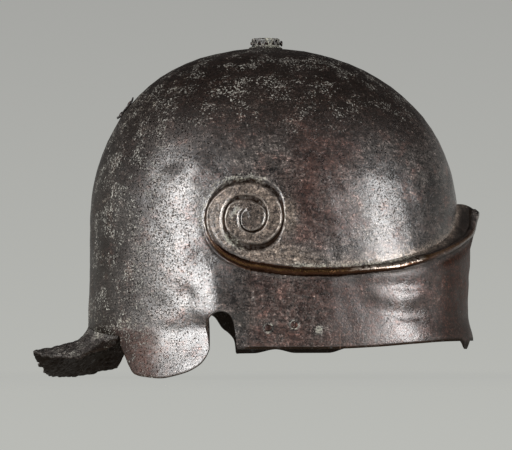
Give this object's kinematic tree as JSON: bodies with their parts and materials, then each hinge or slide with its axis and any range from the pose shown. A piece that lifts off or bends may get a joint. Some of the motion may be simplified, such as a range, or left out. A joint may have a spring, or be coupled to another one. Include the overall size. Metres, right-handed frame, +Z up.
{
  "type": "hellenistic helmet",
  "caption": "Bronze helmet bowl with a raised brow ledge ending in a spiral at each temple, a deep browband, ear notches, a torn neck guard and a riveted crest collar on the crown.",
  "frame": {"origin": "on the surface the helmet is stood on, under the middle of its box, helmet level as worn", "axes": "+X to the wearer's front, +Y to the wearer's left, +Z up through the crown"},
  "size_m": [0.2794, 0.1908, 0.2122],
  "materials": {
    "patinated_bronze": "satin dark brown patina, worn smooth at the brow and lobes",
    "crusted_bronze": "matte pitted crust, grey brown with pale specks",
    "green_bronze": "matte grey green corrosion",
    "rivet_bronze": "satin brown with bright rubbed rims"
  },
  "bodies": {
    "root": {"skull": "patinated_bronze", "neck_guard_fragment": "crusted_bronze", "rear_patch": "crusted_bronze", "rear_patch_rivet_upper": "rivet_bronze", "rear_patch_rivet_lower": "rivet_bronze", "hinge_leaf_left": "crusted_bronze", "hinge_rivet_left_front": "rivet_bronze", "hinge_rivet_left_rear": "rivet_bronze", "hinge_leaf_right": "crusted_bronze", "hinge_rivet_right_front": "rivet_bronze", "hinge_rivet_right_rear": "rivet_bronze", "crest_base": "green_bronze", "crest_collar": "green_bronze", "crest_pin": "rivet_bronze", "crest_rivet": "rivet_bronze", "crest_rove": "rivet_bronze"}
  },
  "joints": []
}
